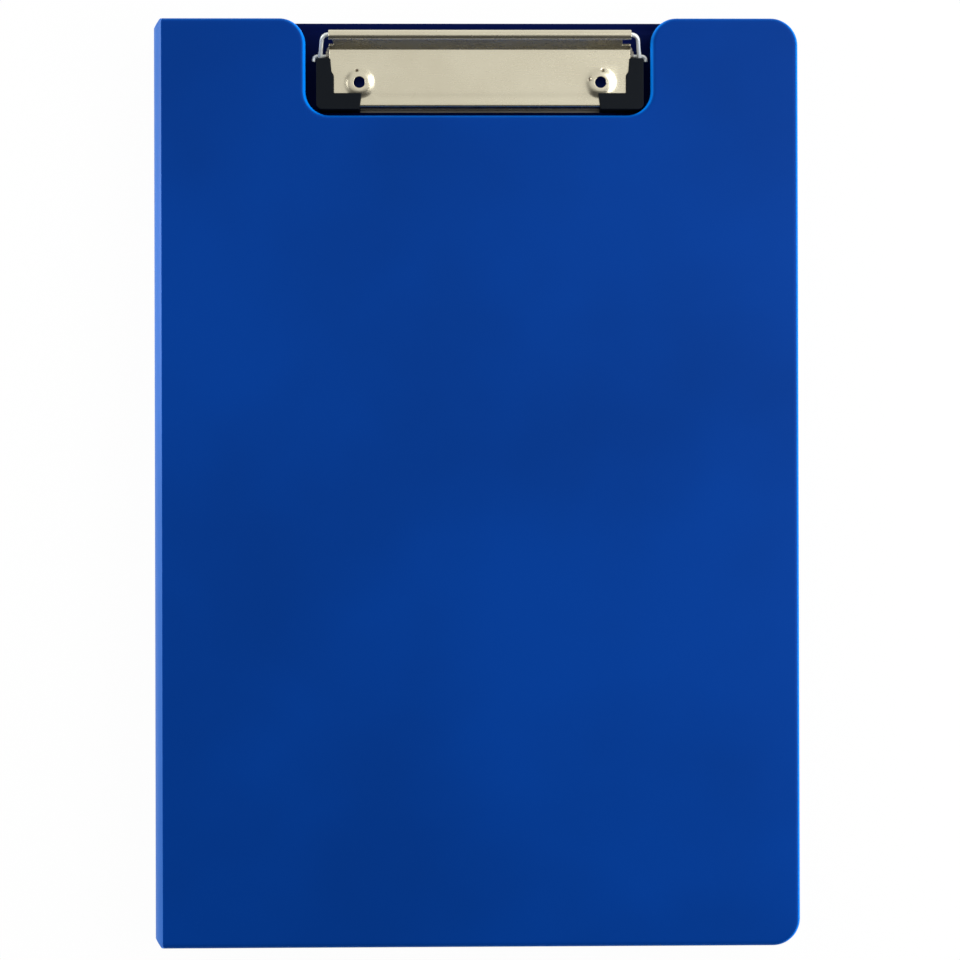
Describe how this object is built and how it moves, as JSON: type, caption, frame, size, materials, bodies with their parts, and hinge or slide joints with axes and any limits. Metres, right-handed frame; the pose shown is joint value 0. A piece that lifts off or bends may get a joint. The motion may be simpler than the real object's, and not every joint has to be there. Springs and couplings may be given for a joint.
{
  "type": "clipboard folder",
  "caption": "Foldover clipboard: two stiff film-covered panels joined by a folding spine, with a low sprung metal clip standing in a window of the front panel.",
  "frame": {"origin": "middle of the closed folder's footprint, on the outer face of the back panel that it lies on", "axes": "+Z out of the front cover, +Y along the spine towards the clip, +X from the spine towards the opening side"},
  "size_m": [0.236, 0.34, 0.0155],
  "materials": {
    "blue_film": "fine matt grain, faint sheen",
    "navy_lining": "smooth matt",
    "pocket_film": "smooth satin",
    "greyboard": "raw",
    "nickel_sheet": "bright nickel plate, slightly warm",
    "bright_wire": "drawn and plated",
    "spring_steel": "oiled",
    "navy_rivet": "satin lacquer",
    "black_cap": "smooth, slightly soft"
  },
  "bodies": {
    "back": {"back_outer_skin": "blue_film", "back_board": "greyboard", "back_inner_skin": "navy_lining", "clip_base_plate": "nickel_sheet", "clip_rivets": "navy_rivet", "rivet_washers": "spring_steel", "pivot_rod": "bright_wire"},
    "spine": {"spine_outer_skin": "blue_film", "spine_board": "greyboard", "spine_inner_skin": "navy_lining"},
    "cover": {"front_outer_skin": "blue_film", "front_board": "greyboard", "front_inner_skin": "navy_lining", "front_pocket": "pocket_film"},
    "jaw": {"jaw_plate": "nickel_sheet", "lever_wire": "bright_wire", "corner_cap_left": "black_cap", "corner_cap_right": "black_cap", "torsion_spring": "spring_steel"}
  },
  "joints": [
    {"name": "spine_fold", "type": "hinge", "parent": "back", "child": "spine", "pos_m": [-0.1176, 0, 0.0004], "axis": [0, -1, 0], "range_deg": [0, 180]},
    {"name": "cover_fold", "type": "hinge", "parent": "spine", "child": "cover", "pos_m": [-0.1176, 0, 0.0117], "axis": [0, -1, 0], "range_deg": [0, 180]},
    {"name": "jaw_pivot", "type": "hinge", "parent": "back", "child": "jaw", "pos_m": [0.0014, 0.15684, 0.007], "axis": [-1, 0, 0], "range_deg": [0, 30], "stiffness_Nm_per_rad": 0.25, "springref_deg": -57.3, "deforming": ["torsion_spring"]}
  ]
}
